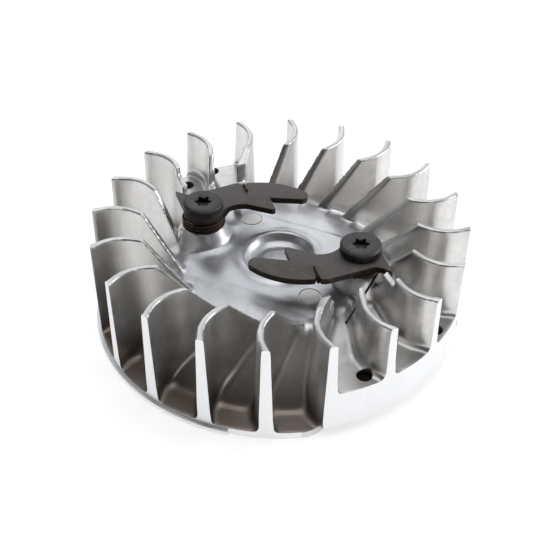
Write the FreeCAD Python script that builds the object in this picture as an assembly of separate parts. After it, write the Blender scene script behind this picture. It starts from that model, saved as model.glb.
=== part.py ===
import FreeCAD, Part
import math
import os

"""Die-cast blower flywheel of a hand-held engine, with magnet and two starter pawls.

Millimetres and degrees.  The wheel axis is Z, the origin lies on it in the plane of the flange's
underside, and the fins stand up towards +Z.  Azimuth 0 is +X, and azimuths grow towards +Y.
The two pawls with their screws and springs are the same, half a turn apart.
"""

Vector = FreeCAD.Vector
AXIS_Z = Vector(0, 0, 1)
BIG = 400.0            # longer than anything in the model
EPS = 0.5              # how far a cutter stands past the face that it opens

# ---- casting: dish -------------------------------------------------------------------------
RIM_RADIUS = 55.0             # turned outer face of the fins and of the magnet band
FLANGE_LIP = 0.95             # the flange stands proud of the turned face
FLANGE_THICKNESS = 1.7
LIP_START = 10.0              # the lip runs from here, the long way round, to LIP_END
LIP_END = 256.0
PAN_HEIGHT = 2.5              # low floor between the fins, inside the flange
PAN_WIDTH = 7.5               # from the rim to the foot of the dish cone
PLATEAU_HEIGHT = 19.0
CROWN_RADIUS = 21.0           # the plateau is flat as far as this
SHOULDER_RADIUS = 30.5        # where the plateau turns down into the cone
SHOULDER_DROP = 1.8
DISH_WALL = 3.6
CEILING_DROP = 0.9            # extra thickness of the plateau
SEGMENT_ROOT_DROP = 1.26      # where the segments' tops meet the plateau, below it

# ---- casting: hub --------------------------------------------------------------------------
HUB_RADIUS = 12.5
HUB_RECESS = 1.0              # the hub's lower face lies inside the flange's underside
HUB_RING_OUTER = 13.4
HUB_RING_INNER = 10.6
HUB_RING_RISE = 0.7
HUB_RING_BEVEL = 0.8
HUB_RING_OVERLAP = 1.5        # the ring's blank reaches this far inside its hollow
NUT_SEAT_RADIUS = 8.2
NUT_SEAT_DEPTH = 2.0          # below the plateau
CRANK_BORE_RADIUS = 5.4       # straight clearance for the crankshaft's thread
CRANK_BORE_LENGTH = 3.0
TAPER_MOUTH_RADIUS = 7.4      # large end of the crankshaft taper
KEYWAY_WIDTH = 3.0
KEYWAY_DEPTH = 1.5
RIB_COUNT = 4
RIB_THICKNESS = 2.6
RIB_DEPTH = 5.0
RIB_AZIMUTH = 67.0
RIB_START = 8.25              # inside the hub's wall
RIB_OVERLAP = 3.8             # how far the ribs reach into the cone

# ---- casting: fins -------------------------------------------------------------------------
FIN_COUNT = 20
FIN_PHASE = 14.5              # azimuth of the outer edge of the first fin
FAN_HEIGHT = 33.15
FIN_TOP_THICKNESS = 1.8
FIN_FOOT_THICKNESS = 3.4
FIN_CURVE_RADIUS = 12.0
FIN_CURVE_INSET = 7.2         # centre of the curve, inside the rim
FIN_CURVE_OFFSET = 10.3       # and to the side of the fin's own radius
FIN_LEAN = 27.2               # angle of the straight inner stretch
FIN_INNER_RADIUS = 28.5
FIN_FLAT_WIDTH = 15.0         # level top, measured in from the rim
TALL_LEDGE_RADIUS = 33.5      # fins cut back to clear the pawls' backs: cut face and its top
TALL_LEDGE_TOP = 30.6
LOW_LEDGE_RADIUS = 36.8       # fin cut back in its sloping stretch
HIGH_LEDGE_RADIUS = 37.0      # fin cut back at full height, to let the spring's leg past
LEDGE_HEIGHT = 24.4
WIRE_LEDGE_HEIGHT = 20.5      # the ledge that the spring's leg passes over
LEDGE_PAD_THICKNESS = 3.4     # inner end of the fins with a tall ledge
STEP_RADIUS = 41.0            # fins lowered beside the pawl tails
STEP_HEIGHT = 30.0
STEP_INNER_RADIUS = 35.6
TALL_LEDGE_FINS = (5, 15)     # counted from the first fin
LOW_LEDGE_FINS = (6,)
HIGH_LEDGE_FINS = (16,)
STEP_FINS = (7, 17)

# ---- casting: magnet segment and counterweight -----------------------------------------------
MAGNET_START = 286.9
MAGNET_END = 339.0
MAGNET_TOP = 15.4
MAGNET_BOTTOM = 3.0
SEGMENT_INNER_RADIUS = 38.0
SEGMENT_LEVEL_WIDTH = 10.0
RELIEF_WIDTH = 5.5            # flange cut away under the magnet band
RELIEF_LEAD = 8.0             # degrees over which the flange curves in to the band
RELIEF_TURN = 1.0             # degrees inside the band where the curve ends
RELIEF_KNEE = 0.6             # depth of the curve part way along
RELIEF_KNEE_AT = 0.45         # how far along the lead the knee lies
WEIGHT_START = 106.0
WEIGHT_END = 137.0
WEIGHT_TOP = 18.0
HOLE_RADIUS = 2.2
HOLE_DEPTH = 7.0
PIN_HOLES = ((3.8, 296.8), (10.3, 313.9), (3.2, 328.2))     # (in from the rim, azimuth)
BALANCE_HOLES = ((3.5, 116.5), (6.4, 129.2))
MARK_RADIUS = 3.0             # ejector marks on the plateau
MARK_GROOVE = 0.35
MARK_DISTANCE = 20.2
MARK_AZIMUTH = 115.9

# ---- magnet and pole shoes, cast in ------------------------------------------------------------
SHOE_WIDTH = 11.0
SHOE_DEPTH = 11.0
SHOE_HEIGHT = 9.6
SHOE_SPREAD = 11.2            # half the angle between the two shoes
MAGNET_DEPTH = 7.0
MAGNET_INSET = 3.2            # from the rim to the magnet's outer face
CAST_IN_GAP = 0.02

# ---- pawl pivots -------------------------------------------------------------------------------
PIVOT_RADIUS = 25.05
PIVOT_AZIMUTH = 337.2         # the right pawl; the left one is half a turn on
BOSS_HEIGHT = 23.7
BOSS_TOP_RADIUS = 6.6
BOSS_FOOT_RADIUS = 10.0
PAWL_LIFT = 3.6               # room for the spring under the pawl
PAWL_THICKNESS = 2.0
HEAD_CLEARANCE = 0.25
REST_SWING = {"right": 0.0, "left": 3.4}   # how far each pawl stands out at rest
SHOULDER_DIAMETER = 7.0
PAWL_FIT = 0.05               # radial, pawl on the screw's shoulder
HEAD_RADIUS = 6.0
HEAD_HEIGHT = 2.5
HEAD_CHAMFER = 0.5
RECESS_RADIUS = 2.53          # T27, over the lobes
RECESS_DEPTH = 2.0
RECESS_CORE = 0.72            # shares of the recess's radius: its round core and one lobe
RECESS_LOBE = 0.22
THREAD_DIAMETER = 5.0
THREAD_FIT = 0.04
THREAD_LENGTH = 11.0
THREAD_BOSS_WALL = 3.0
THREAD_CHAMFER = 0.6

# ---- pawl outline, seen from above with the pivot at 0, 0 ------------------------------------------
EYE_WALL = 2.4
PAWL_TIP = (-31.9, -5.7)
NOSE_OUTER = (-31.0, -7.6)
NOSE_INNER = (-29.6, -3.6)
TOOTH_FOOT = (-20.2, -4.7)
TOOTH_POINT = (-21.7, 0.9)
TOOTH_CREST = (-20.7, 1.3)
NECK_START = (-15.2, -0.8)
NECK_HOLLOW = (-10.8, -1.7)
NECK_END = (-5.5, 2.4)
TAIL_ROOT = (5.9, -0.6)
TAIL_POINT = (8.6, -9.3)
TAIL_HOLLOW = (6.3, -7.9)
BELLY_START = (3.9, -7.0)
BELLY_MIDDLE = (-3.4, -10.1)
BELLY_END = (-9.6, -12.7)
NOTCH_RIGHT = (-11.5, -12.75)
NOTCH_VERTEX = (-12.35, -10.5)
NOTCH_LEFT = (-13.2, -12.75)
BACK_MIDDLE = (-22.6, -12.2)

# ---- torsion spring ------------------------------------------------------------------------------
WIRE_RADIUS = 0.33
COIL_RADIUS = 6.2             # to the middle of the wire
COIL_TURNS = 2                # whole turns, besides the part turn between the legs
COIL_PITCH = 1.1
COIL_GAP = 0.03               # between the coil and the boss
LEG_AZIMUTH = 244.6           # direction of the lower leg
LEG_LENGTHS = {"right": 24.5, "left": 9.0}
HOOK_BEND = 0.9               # radius of the bends through the pawl's notch
HOOK_AZIMUTH = 105.0          # direction of the hook's end, which lies on the pawl
HOOK_LENGTH = 3.2
HOOK_FIT = 0.15               # between the hook and the pawl


def polar(radius, azimuth, height=0.0):
    """A point at a radius and azimuth about the wheel axis."""
    angle = math.radians(azimuth)
    return Vector(radius * math.cos(angle), radius * math.sin(angle), height)


def rounded_wire(corners):
    """A closed wire in the XZ plane; each corner is (x, z, rounding radius)."""
    count = len(corners)
    starts = []
    ends = []
    middles = []
    for i in range(count):
        x, z, radius = corners[i]
        corner = Vector(x, 0, z)
        before = Vector(corners[i - 1][0], 0, corners[i - 1][1]) - corner
        after = Vector(corners[(i + 1) % count][0], 0, corners[(i + 1) % count][1]) - corner
        before.normalize()
        after.normalize()
        if radius <= 0:
            starts.append(corner)
            ends.append(corner)
            middles.append(None)
            continue
        half = before.getAngle(after) / 2
        setback = radius / math.tan(half)
        bisector = (before + after).normalize()
        starts.append(corner + before * setback)
        ends.append(corner + after * setback)
        middles.append(corner + bisector * (radius / math.sin(half) - radius))
    edges = []
    for i in range(count):
        if middles[i] is not None:
            edges.append(Part.Arc(starts[i], middles[i], ends[i]).toShape())
        following = starts[(i + 1) % count]
        if ends[i].distanceToPoint(following) > 1e-6:
            edges.append(Part.LineSegment(ends[i], following).toShape())
    return Part.Wire(edges)


def turned(corners, start=0.0, sweep=360.0):
    """Revolve a rounded XZ outline about the wheel axis."""
    face = Part.Face(rounded_wire(corners))
    face.rotate(Vector(), AXIS_Z, start)
    return face.revolve(Vector(), AXIS_Z, sweep)


def prism(points, bottom, height):
    """A straight prism over a polygon of (x, y) points."""
    corners = [Vector(x, y, bottom) for x, y in points]
    return Part.Face(Part.makePolygon(corners + corners[:1])).extrude(Vector(0, 0, height))


def turn(shape, azimuth):
    """A copy of a shape, turned about the wheel axis."""
    copy = shape.copy()
    copy.rotate(Vector(), AXIS_Z, azimuth)
    return copy


def single(shape, name):
    """The one solid that a shape must be."""
    clean = shape.removeSplitter()
    if len(clean.Solids) != 1:
        raise RuntimeError("%s is %d solids" % (name, len(clean.Solids)))
    return clean.Solids[0]


# ---- derived places -----------------------------------------------------------------------------
CONE_FOOT_RADIUS = RIM_RADIUS - PAN_WIDTH
CONE_TOP_HEIGHT = PLATEAU_HEIGHT - SHOULDER_DROP
CONE_ANGLE = math.atan2(CONE_TOP_HEIGHT - PAN_HEIGHT, CONE_FOOT_RADIUS - SHOULDER_RADIUS)
CEILING = PLATEAU_HEIGHT - DISH_WALL - CEILING_DROP
OUTER_FOOT_RADIUS = CONE_FOOT_RADIUS + PAN_HEIGHT / math.tan(CONE_ANGLE)
INNER_FOOT_RADIUS = OUTER_FOOT_RADIUS - DISH_WALL / math.sin(CONE_ANGLE)
INNER_TOP_RADIUS = INNER_FOOT_RADIUS - CEILING / math.tan(CONE_ANGLE)
PAWL_BOTTOM = BOSS_HEIGHT + PAWL_LIFT
PAWL_TOP = PAWL_BOTTOM + PAWL_THICKNESS
HEAD_BOTTOM = PAWL_TOP + HEAD_CLEARANCE
THREAD_END = BOSS_HEIGHT - THREAD_LENGTH
PAWL_BORE_RADIUS = SHOULDER_DIAMETER / 2 + PAWL_FIT
EYE_RADIUS = PAWL_BORE_RADIUS + EYE_WALL
FIN_FLAT_RADIUS = RIM_RADIUS - FIN_FLAT_WIDTH
FIN_FALL = (FAN_HEIGHT - CONE_TOP_HEIGHT) / (FIN_FLAT_RADIUS - FIN_INNER_RADIUS)
FIN_STEP = 360.0 / FIN_COUNT
MAGNET_MIDDLE = (MAGNET_START + MAGNET_END) / 2


def dish():
    """Plateau, cone, pan and flange, hollow underneath."""
    return turned([
        (0, CEILING, 0),
        (0, PLATEAU_HEIGHT, 0),
        (CROWN_RADIUS, PLATEAU_HEIGHT, 30.0),
        (SHOULDER_RADIUS, CONE_TOP_HEIGHT, 6.0),
        (CONE_FOOT_RADIUS, PAN_HEIGHT, 4.0),
        (RIM_RADIUS, PAN_HEIGHT, 0.4),
        (RIM_RADIUS, 0, 0),
        (INNER_FOOT_RADIUS, 0, 1.0),
        (INNER_TOP_RADIUS, CEILING, 4.0),
    ])


def flange_lip():
    """Thin lip proud of the turned rim, all round except beside the magnet."""
    return turned([
        (RIM_RADIUS - FLANGE_LIP, 0, 0),
        (RIM_RADIUS + FLANGE_LIP, 0, 0),
        (RIM_RADIUS + FLANGE_LIP, FLANGE_THICKNESS, 0.4),
        (RIM_RADIUS - FLANGE_LIP, FLANGE_THICKNESS, 0),
    ], LIP_START, LIP_END - LIP_START)


def hub():
    """Hub boss under the plateau and the ring round the nut seat."""
    boss = Part.makeCylinder(HUB_RADIUS, PLATEAU_HEIGHT - 2 * EPS - HUB_RECESS, Vector(0, 0, HUB_RECESS))
    ring_top = PLATEAU_HEIGHT + HUB_RING_RISE
    ring = turned([
        (HUB_RING_INNER - HUB_RING_OVERLAP, PLATEAU_HEIGHT - EPS, 0),
        (HUB_RING_INNER - HUB_RING_OVERLAP, ring_top, 0),
        (HUB_RING_OUTER - HUB_RING_BEVEL, ring_top, 0.3),
        (HUB_RING_OUTER, PLATEAU_HEIGHT, 0),
        (HUB_RING_OUTER, PLATEAU_HEIGHT - EPS, 0),
    ])
    return boss.fuse(ring)


def hub_bore():
    """Nut seat, straight bore, crankshaft taper and keyway, as one cutter."""
    seat_height = PLATEAU_HEIGHT - NUT_SEAT_DEPTH
    taper_top = seat_height - CRANK_BORE_LENGTH
    seat_lip = HUB_RING_INNER + EPS * (HUB_RING_INNER - NUT_SEAT_RADIUS) / NUT_SEAT_DEPTH
    ring_top = PLATEAU_HEIGHT + HUB_RING_RISE
    bore = turned([
        (0, HUB_RECESS - EPS, 0),
        (TAPER_MOUTH_RADIUS, HUB_RECESS - EPS, 0),
        (TAPER_MOUTH_RADIUS, HUB_RECESS, 0),
        (CRANK_BORE_RADIUS, taper_top, 0),
        (CRANK_BORE_RADIUS, seat_height, 0),
        (NUT_SEAT_RADIUS, seat_height, 0),
        (HUB_RING_INNER, ring_top, 0),
        (seat_lip, ring_top + EPS, 0),
        (0, ring_top + EPS, 0),
    ])
    reach = TAPER_MOUTH_RADIUS + KEYWAY_DEPTH
    corner = Vector(0, -KEYWAY_WIDTH / 2, HUB_RECESS - EPS)
    keyway = Part.makeBox(reach, KEYWAY_WIDTH, taper_top, corner)
    bottom = Vector(0, 0, HUB_RECESS)
    slope = Part.makeCone(reach, CRANK_BORE_RADIUS + KEYWAY_DEPTH, taper_top - HUB_RECESS, bottom)
    mouth = Part.makeCylinder(reach, EPS, Vector(0, 0, HUB_RECESS - EPS))
    return bore.fuse(keyway.common(slope.fuse(mouth)))


def ribs():
    """Stiffening ribs under the plateau, from the hub out to the cone."""
    length = INNER_TOP_RADIUS + RIB_OVERLAP - RIB_START
    corner = Vector(RIB_START, -RIB_THICKNESS / 2, CEILING - RIB_DEPTH)
    blank = Part.makeBox(length, RIB_THICKNESS, RIB_DEPTH + DISH_WALL / 2, corner)
    return [turn(blank, RIB_AZIMUTH + i * 360.0 / RIB_COUNT) for i in range(RIB_COUNT)]


def fin_frame():
    """Centre of a fin's curve; start, way, sideways way and length of its straight stretch."""
    centre = Vector(RIM_RADIUS - FIN_CURVE_INSET, FIN_CURVE_OFFSET, 0)
    lean = math.radians(FIN_LEAN)
    inward = Vector(-math.cos(lean), math.sin(lean), 0)
    across = Vector(-math.sin(lean), -math.cos(lean), 0)
    tangent = centre + across * FIN_CURVE_RADIUS
    along = tangent.dot(inward)
    closest = (tangent - inward * along).Length
    length = -along - math.sqrt(FIN_INNER_RADIUS ** 2 - closest ** 2)
    return centre, tangent, inward, across, length


def fin_blank():
    """One untrimmed fin: a curved outer stretch and a straight inner one, thinner at the top."""
    centre, tangent, inward, across, length = fin_frame()
    half_foot = FIN_FOOT_THICKNESS / 2
    half_top = FIN_TOP_THICKNESS / 2
    convex = Part.makeCone(FIN_CURVE_RADIUS + half_foot, FIN_CURVE_RADIUS + half_top, FAN_HEIGHT, centre)
    concave = Part.makeCone(FIN_CURVE_RADIUS - half_foot, FIN_CURVE_RADIUS - half_top, FAN_HEIGHT, centre)
    reach = FIN_CURVE_RADIUS * 3
    outer_end = centre + Vector(reach, -reach / 2, 0)
    sector = [centre, centre + across * reach, centre + across * reach + Vector(reach, 0, 0), outer_end]
    wedge = prism([(p.x, p.y) for p in sector], 0, FAN_HEIGHT)
    curved = convex.cut(concave).common(wedge)
    foot = [tangent - across * half_foot, tangent + across * half_foot]
    lift = Vector(0, 0, FAN_HEIGHT)
    top = [tangent + across * half_top + lift, tangent - across * half_top + lift]
    section = Part.Face(Part.makePolygon(foot + top + foot[:1]))
    return curved.fuse(section.extrude(inward * length))


def ledge_pad():
    """Metal that thickens a fin evenly towards its inner end."""
    centre, tangent, inward, across, length = fin_frame()
    end = tangent + inward * length
    narrow = across * (FIN_TOP_THICKNESS / 2)
    wide = across * (LEDGE_PAD_THICKNESS / 2)
    plan = [tangent - narrow, tangent + narrow, end + wide, end - wide]
    return prism([(p.x, p.y) for p in plan], 0, FAN_HEIGHT)


def slope_height(radius):
    """Height of the sloping inner edge of a fin."""
    return FAN_HEIGHT - (FIN_FLAT_RADIUS - radius) * FIN_FALL


def fin_envelope(kind):
    """The turned space that trims a fin of one kind."""
    inner = FIN_INNER_RADIUS - 3
    low_end = [(FIN_INNER_RADIUS, CONE_TOP_HEIGHT, 0), (inner, CONE_TOP_HEIGHT, 0)]
    corner = [(FIN_FLAT_RADIUS, FAN_HEIGHT, 0)]
    if kind == "tall ledge":
        top = corner + [(TALL_LEDGE_RADIUS, TALL_LEDGE_TOP, 0), (TALL_LEDGE_RADIUS, LEDGE_HEIGHT, 0),
                        (inner, LEDGE_HEIGHT, 0)]
    elif kind == "low ledge":
        top = corner + [(LOW_LEDGE_RADIUS, slope_height(LOW_LEDGE_RADIUS), 0),
                        (LOW_LEDGE_RADIUS, LEDGE_HEIGHT, 0), (inner, LEDGE_HEIGHT, 0)]
    elif kind == "high ledge":
        top = [(HIGH_LEDGE_RADIUS, FAN_HEIGHT, 0), (HIGH_LEDGE_RADIUS, WIRE_LEDGE_HEIGHT, 0),
               (inner, WIRE_LEDGE_HEIGHT, 0)]
    elif kind == "step":
        slope_meet = slope_height(STEP_INNER_RADIUS)
        top = [(STEP_RADIUS, FAN_HEIGHT, 0), (STEP_RADIUS, STEP_HEIGHT, 0),
               (STEP_INNER_RADIUS, STEP_HEIGHT, 0), (STEP_INNER_RADIUS, slope_meet, 0)] + low_end
    else:
        top = corner + low_end
    return turned([(inner, FLANGE_THICKNESS / 2, 0), (RIM_RADIUS, FLANGE_THICKNESS / 2, 0),
                   (RIM_RADIUS, FAN_HEIGHT, 0)] + top)


def fin_kind(number):
    """How the fin with this number is cut at its inner end."""
    kinds = {"tall ledge": TALL_LEDGE_FINS, "low ledge": LOW_LEDGE_FINS,
             "high ledge": HIGH_LEDGE_FINS, "step": STEP_FINS}
    for kind, numbers in kinds.items():
        if number in numbers:
            return kind
    return "plain"


def fins():
    """All fins in their places; each one is trimmed by the envelope of its kind."""
    blank = fin_blank()
    trimmed = {}
    placed = []
    for number in range(FIN_COUNT):
        kind = fin_kind(number)
        if kind not in trimmed:
            whole = blank.fuse(ledge_pad()) if kind == "tall ledge" else blank
            trimmed[kind] = whole.common(fin_envelope(kind))
        placed.append(turn(trimmed[kind], FIN_PHASE + number * FIN_STEP))
    return placed


def magnet_segment():
    """Cast block that holds the magnet, its outer face turned with the fins."""
    level_radius = RIM_RADIUS - SEGMENT_LEVEL_WIDTH
    return turned([
        (SEGMENT_INNER_RADIUS, MAGNET_BOTTOM, 0),
        (RIM_RADIUS, MAGNET_BOTTOM, 0),
        (RIM_RADIUS, MAGNET_TOP, 0.4),
        (level_radius, MAGNET_TOP, 12.0),
        (SHOULDER_RADIUS - 2, PLATEAU_HEIGHT - SEGMENT_ROOT_DROP, 0),
        (SHOULDER_RADIUS - 2, CEILING, 0),
        (SEGMENT_INNER_RADIUS, PAN_HEIGHT + 4, 0),
    ], MAGNET_START, MAGNET_END - MAGNET_START)


def band_relief():
    """Cutter for the flange under the magnet band, curving in from the rim at both ends."""
    inner = RIM_RADIUS - RELIEF_WIDTH
    outer = RIM_RADIUS + FLANGE_LIP + EPS
    first = MAGNET_START - RELIEF_LEAD
    last = MAGNET_END + RELIEF_LEAD
    start = MAGNET_START + RELIEF_TURN
    end = MAGNET_END - RELIEF_TURN
    knee = RIM_RADIUS - RELIEF_KNEE
    early = MAGNET_START - RELIEF_LEAD * RELIEF_KNEE_AT
    late = MAGNET_END + RELIEF_LEAD * RELIEF_KNEE_AT
    lead_in = Part.Arc(polar(outer, first), polar(knee, early), polar(inner, start))
    floor = Part.Arc(polar(inner, start), polar(inner, MAGNET_MIDDLE), polar(inner, end))
    lead_out = Part.Arc(polar(inner, end), polar(knee, late), polar(outer, last))
    outside = Part.Arc(polar(outer, last), polar(outer, MAGNET_MIDDLE), polar(outer, first))
    face = Part.Face(Part.Wire([arc.toShape() for arc in (lead_in, floor, lead_out, outside)]))
    face.translate(Vector(0, 0, -EPS))
    return face.extrude(Vector(0, 0, MAGNET_BOTTOM + EPS))


def counterweight():
    """Solid block opposite the magnet, with a crowned top."""
    return turned([
        (SEGMENT_INNER_RADIUS, FLANGE_THICKNESS / 2, 0),
        (RIM_RADIUS, FLANGE_THICKNESS / 2, 0),
        (RIM_RADIUS, WEIGHT_TOP, 3.0),
        (SHOULDER_RADIUS - 2, PLATEAU_HEIGHT - SEGMENT_ROOT_DROP, 0),
        (SHOULDER_RADIUS - 2, CEILING, 0),
        (SEGMENT_INNER_RADIUS, PAN_HEIGHT + 4, 0),
    ], WEIGHT_START, WEIGHT_END - WEIGHT_START)


def segment_holes():
    """Locating-pin holes over the pole shoes and balance holes in the counterweight."""
    holes = []
    for holes_here, top in ((PIN_HOLES, MAGNET_TOP), (BALANCE_HOLES, WEIGHT_TOP)):
        for inset, azimuth in holes_here:
            low = top - HOLE_DEPTH
            holes.append(Part.makeCylinder(HOLE_RADIUS, BIG, polar(RIM_RADIUS - inset, azimuth, low)))
    limit = Part.makeCylinder(RIM_RADIUS, PLATEAU_HEIGHT)
    return [hole.common(limit) for hole in holes]


def pivot_bosses():
    """Conical bosses that carry the pawls, with thicker metal under them for the threads."""
    bosses = []
    for half_turn in (0, 180):
        centre = polar(PIVOT_RADIUS, PIVOT_AZIMUTH + half_turn)
        foot = PLATEAU_HEIGHT - DISH_WALL / 2
        base = centre + Vector(0, 0, foot)
        cone = Part.makeCone(BOSS_FOOT_RADIUS, BOSS_TOP_RADIUS, BOSS_HEIGHT - foot, base)
        low = THREAD_END - THREAD_BOSS_WALL
        stem_radius = THREAD_DIAMETER / 2 + THREAD_BOSS_WALL
        stem = Part.makeCylinder(stem_radius, foot + EPS - low, centre + Vector(0, 0, low))
        bosses.append(cone.fuse(stem))
    return bosses


def pivot_holes():
    """Threaded holes of the pawl screws, at the thread's outer diameter."""
    holes = []
    for half_turn in (0, 180):
        centre = polar(PIVOT_RADIUS, PIVOT_AZIMUTH + half_turn, THREAD_END - EPS)
        length = BOSS_HEIGHT - THREAD_END + 2 * EPS
        holes.append(Part.makeCylinder(THREAD_DIAMETER / 2 + THREAD_FIT, length, centre))
    return holes


def ejector_grooves():
    """Fine grooves round the two ejector marks."""
    grooves = []
    for half_turn in (0, 180):
        centre = polar(MARK_DISTANCE, MARK_AZIMUTH + half_turn, PLATEAU_HEIGHT - MARK_GROOVE)
        outer = Part.makeCylinder(MARK_RADIUS + MARK_GROOVE, MARK_GROOVE + EPS, centre)
        grooves.append(outer.cut(Part.makeCylinder(MARK_RADIUS, MARK_GROOVE + EPS, centre)))
    return grooves


def pole_shoes():
    """The two laminated pole shoes: blocks with their outer ends turned with the band."""
    limit = Part.makeCylinder(RIM_RADIUS, BIG)
    low = (MAGNET_TOP + MAGNET_BOTTOM - SHOE_HEIGHT) / 2
    shoes = []
    for side in (-1, 1):
        corner = Vector(RIM_RADIUS - SHOE_DEPTH, -SHOE_WIDTH / 2, low)
        block = Part.makeBox(SHOE_DEPTH + 5, SHOE_WIDTH, SHOE_HEIGHT, corner)
        shoes.append(turn(block, MAGNET_MIDDLE + side * SHOE_SPREAD).common(limit))
    return shoes


def ignition_magnet(shoes):
    """Block magnet between the pole shoes, ground to fit them."""
    low = (MAGNET_TOP + MAGNET_BOTTOM - SHOE_HEIGHT) / 2
    width = 2 * RIM_RADIUS * math.sin(math.radians(SHOE_SPREAD))
    corner = Vector(RIM_RADIUS - MAGNET_INSET - MAGNET_DEPTH, -width / 2, low)
    block = turn(Part.makeBox(MAGNET_DEPTH, width, SHOE_HEIGHT, corner), MAGNET_MIDDLE)
    return block.cut(Part.makeCompound(shoes))


def cast_in_pocket(shoes, magnet):
    """The space that the shoes and the magnet fill in the casting."""
    grown = [piece.makeOffsetShape(CAST_IN_GAP, 1e-4, join=2) for piece in shoes + [magnet]]
    return grown[0].fuse(grown[1:])


def casting(shoes, magnet):
    """The whole die casting as one solid."""
    adds = [flange_lip(), hub()] + ribs() + fins() + [magnet_segment(), counterweight()] + pivot_bosses()
    body = dish().fuse(adds)
    cuts = [hub_bore(), band_relief(), cast_in_pocket(shoes, magnet)]
    cuts += segment_holes() + pivot_holes() + ejector_grooves()
    return single(body.cut(cuts), "flywheel_casting")


def pawl_outline():
    """Outline of the pawl in its own plane, from the tip round by the tooth, the eye and the tail."""
    def at(point):
        return Vector(point[0], point[1], 0)

    def line(first, last):
        return Part.LineSegment(at(first), at(last)).toShape()

    def arc(first, middle, last):
        return Part.Arc(at(first), at(middle), at(last)).toShape()

    neck = math.atan2(NECK_END[1], NECK_END[0])
    tail = math.atan2(TAIL_ROOT[1], TAIL_ROOT[0])
    crown = (neck + tail) / 2
    eye = [(EYE_RADIUS * math.cos(a), EYE_RADIUS * math.sin(a)) for a in (neck, crown, tail)]
    return Part.Wire([
        arc(NOSE_OUTER, PAWL_TIP, NOSE_INNER),
        line(NOSE_INNER, TOOTH_FOOT),
        line(TOOTH_FOOT, TOOTH_POINT),
        line(TOOTH_POINT, TOOTH_CREST),
        line(TOOTH_CREST, NECK_START),
        arc(NECK_START, NECK_HOLLOW, eye[0]),
        arc(eye[0], eye[1], eye[2]),
        line(eye[2], TAIL_POINT),
        line(TAIL_POINT, TAIL_HOLLOW),
        line(TAIL_HOLLOW, BELLY_START),
        arc(BELLY_START, BELLY_MIDDLE, BELLY_END),
        line(BELLY_END, NOTCH_RIGHT),
        line(NOTCH_RIGHT, NOTCH_VERTEX),
        line(NOTCH_VERTEX, NOTCH_LEFT),
        arc(NOTCH_LEFT, BACK_MIDDLE, NOSE_OUTER),
    ])


def pawl():
    """One starter pawl on its pivot, stamped from plate and bored to run on the screw's shoulder."""
    plate = Part.Face(pawl_outline()).extrude(Vector(0, 0, PAWL_THICKNESS))
    bore = Part.makeCylinder(PAWL_BORE_RADIUS, PAWL_THICKNESS + 2 * EPS, Vector(0, 0, -EPS))
    body = plate.cut(bore)
    body.translate(Vector(0, 0, PAWL_BOTTOM))
    return single(body, "pawl")


def torx_recess():
    """Six-lobed recess: a round core with six round lobes."""
    hollow_radius = RECESS_RADIUS * RECESS_CORE
    lobe = RECESS_RADIUS * RECESS_LOBE
    recess = Part.makeCylinder(hollow_radius, RECESS_DEPTH + EPS)
    for i in range(6):
        angle = math.radians(60 * i)
        centre = Vector(math.cos(angle), math.sin(angle), 0) * (RECESS_RADIUS - lobe)
        recess = recess.fuse(Part.makeCylinder(lobe, RECESS_DEPTH + EPS, centre))
    return recess


def pivot_screw():
    """Shoulder screw: thread, shoulder for the pawl and a round head with a six-lobed recess."""
    thread_radius = THREAD_DIAMETER / 2
    shoulder_radius = SHOULDER_DIAMETER / 2
    head_top = HEAD_BOTTOM + HEAD_HEIGHT
    profile = [
        (0, THREAD_END, 0),
        (thread_radius - THREAD_CHAMFER, THREAD_END, 0),
        (thread_radius, THREAD_END + THREAD_CHAMFER, 0),
        (thread_radius, BOSS_HEIGHT, 0),
        (shoulder_radius, BOSS_HEIGHT, 0),
        (shoulder_radius, HEAD_BOTTOM, 0),
        (HEAD_RADIUS, HEAD_BOTTOM, 0.2),
        (HEAD_RADIUS, head_top, HEAD_CHAMFER),
        (0, head_top, 0),
    ]
    recess = torx_recess()
    recess.translate(Vector(0, 0, head_top - RECESS_DEPTH))
    return single(turned(profile).cut(recess), "pivot_screw")


def heading(azimuth):
    """A level unit vector."""
    return polar(1.0, azimuth)


def bend(start, way, turned_way):
    """Quarter bend of the hook: its solid and its end, from one direction into one square to it."""
    end = start + (way + turned_way) * HOOK_BEND
    half = math.sin(math.pi / 4)
    middle = start + (way * half + turned_way * (1 - half)) * HOOK_BEND
    ring = Part.Wire(Part.Circle(start, way, WIRE_RADIUS).toShape())
    path = Part.Wire(Part.Arc(start, middle, end).toShape())
    return path.makePipeShell([ring], True, False), end


def rod(start, way, length):
    """Straight stretch of wire."""
    return Part.makeCylinder(WIRE_RADIUS, length, start, way)


def coil(start_azimuth, sweep, height):
    """The open coil, from the lower leg up to the upper one."""
    helix = Part.makeHelix(COIL_PITCH, COIL_PITCH * sweep / 360, COIL_RADIUS)
    ring = Part.Wire(Part.Circle(Vector(COIL_RADIUS, 0, 0), Vector(0, 1, 0), WIRE_RADIUS).toShape())
    body = Part.Wire(helix.Edges).makePipeShell([ring], True, True)
    body.rotate(Vector(), AXIS_Z, start_azimuth)
    body.translate(Vector(0, 0, height))
    return body


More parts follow.
